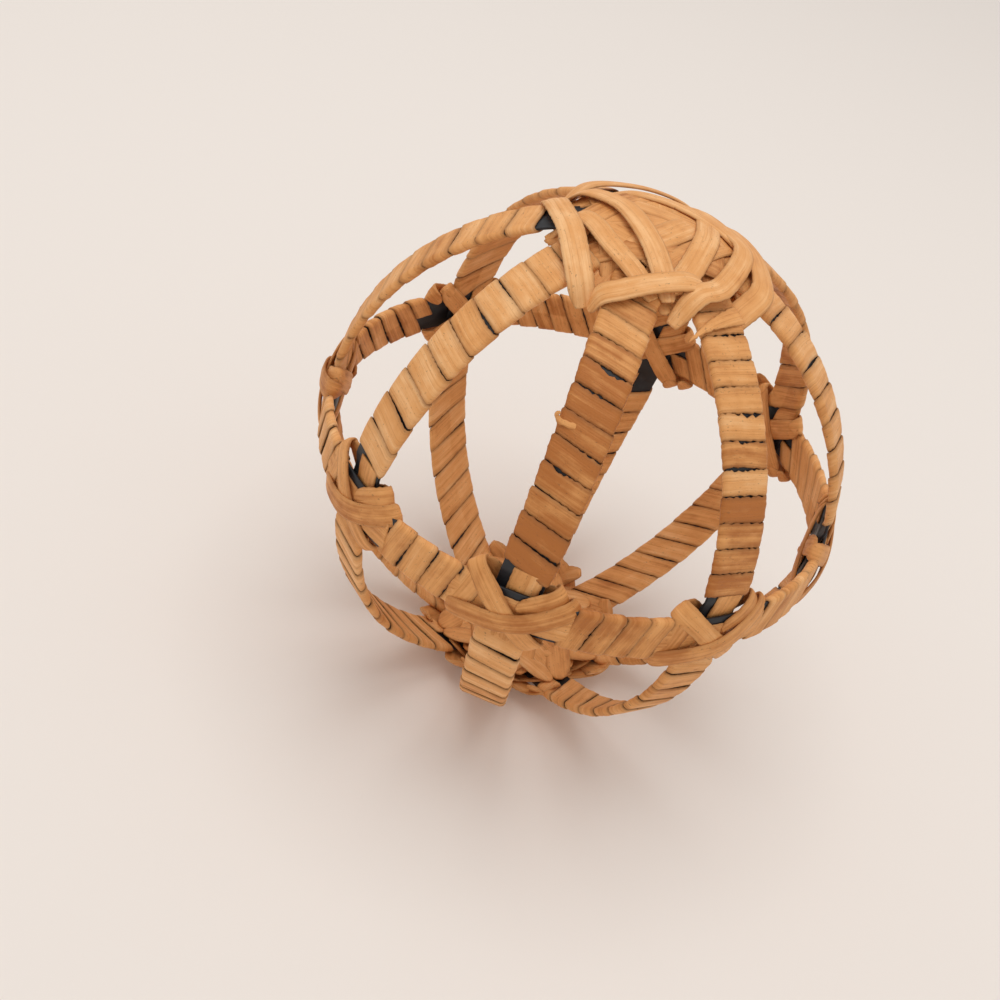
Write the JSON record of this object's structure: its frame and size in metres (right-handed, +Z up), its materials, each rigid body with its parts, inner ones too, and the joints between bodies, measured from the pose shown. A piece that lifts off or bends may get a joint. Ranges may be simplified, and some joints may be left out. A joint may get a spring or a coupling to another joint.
{
  "type": "decorative sphere",
  "caption": "Openwork ball of black strip hoops wound with flat natural cane, lashed at each crossing and tied over both poles with a woven cane star.",
  "frame": {"origin": "centre of the small flat spot under the bottom star, on the surface that the ball stands on", "axes": "+Z up through both poles, where the upright hoops cross; -Y towards the front rib; +X to the right of it"},
  "size_m": [0.1309, 0.1304, 0.1321],
  "materials": {
    "cane": "natural flat cane, honey tan, dull sheen on the skin side",
    "pale_cane": "natural flat cane, paler and fresher, dull sheen on the skin side",
    "black_strip": "flat black strip, satin"
  },
  "bodies": {
    "root": {"hoop_core_1": "black_strip", "hoop_core_2": "black_strip", "hoop_core_3": "black_strip", "hoop_core_4": "black_strip", "level_hoop_core": "black_strip", "upper_winding_1": "cane", "lower_winding_1": "cane", "level_winding_1": "cane", "lashing_1": "cane", "upper_winding_2": "cane", "lower_winding_2": "cane", "level_winding_2": "cane", "lashing_2": "cane", "upper_winding_3": "cane", "lower_winding_3": "cane", "level_winding_3": "cane", "lashing_3": "cane", "upper_winding_4": "cane", "lower_winding_4": "cane", "level_winding_4": "cane", "lashing_4": "cane", "upper_winding_5": "cane", "lower_winding_5": "cane", "level_winding_5": "cane", "lashing_5": "cane", "upper_winding_6": "cane", "lower_winding_6": "cane", "level_winding_6": "cane", "lashing_6": "cane", "upper_winding_7": "cane", "lower_winding_7": "cane", "level_winding_7": "cane", "lashing_7": "cane", "upper_winding_8": "cane", "lower_winding_8": "cane", "level_winding_8": "cane", "lashing_8": "cane", "top_star": "pale_cane", "bottom_star": "cane"}
  },
  "joints": []
}
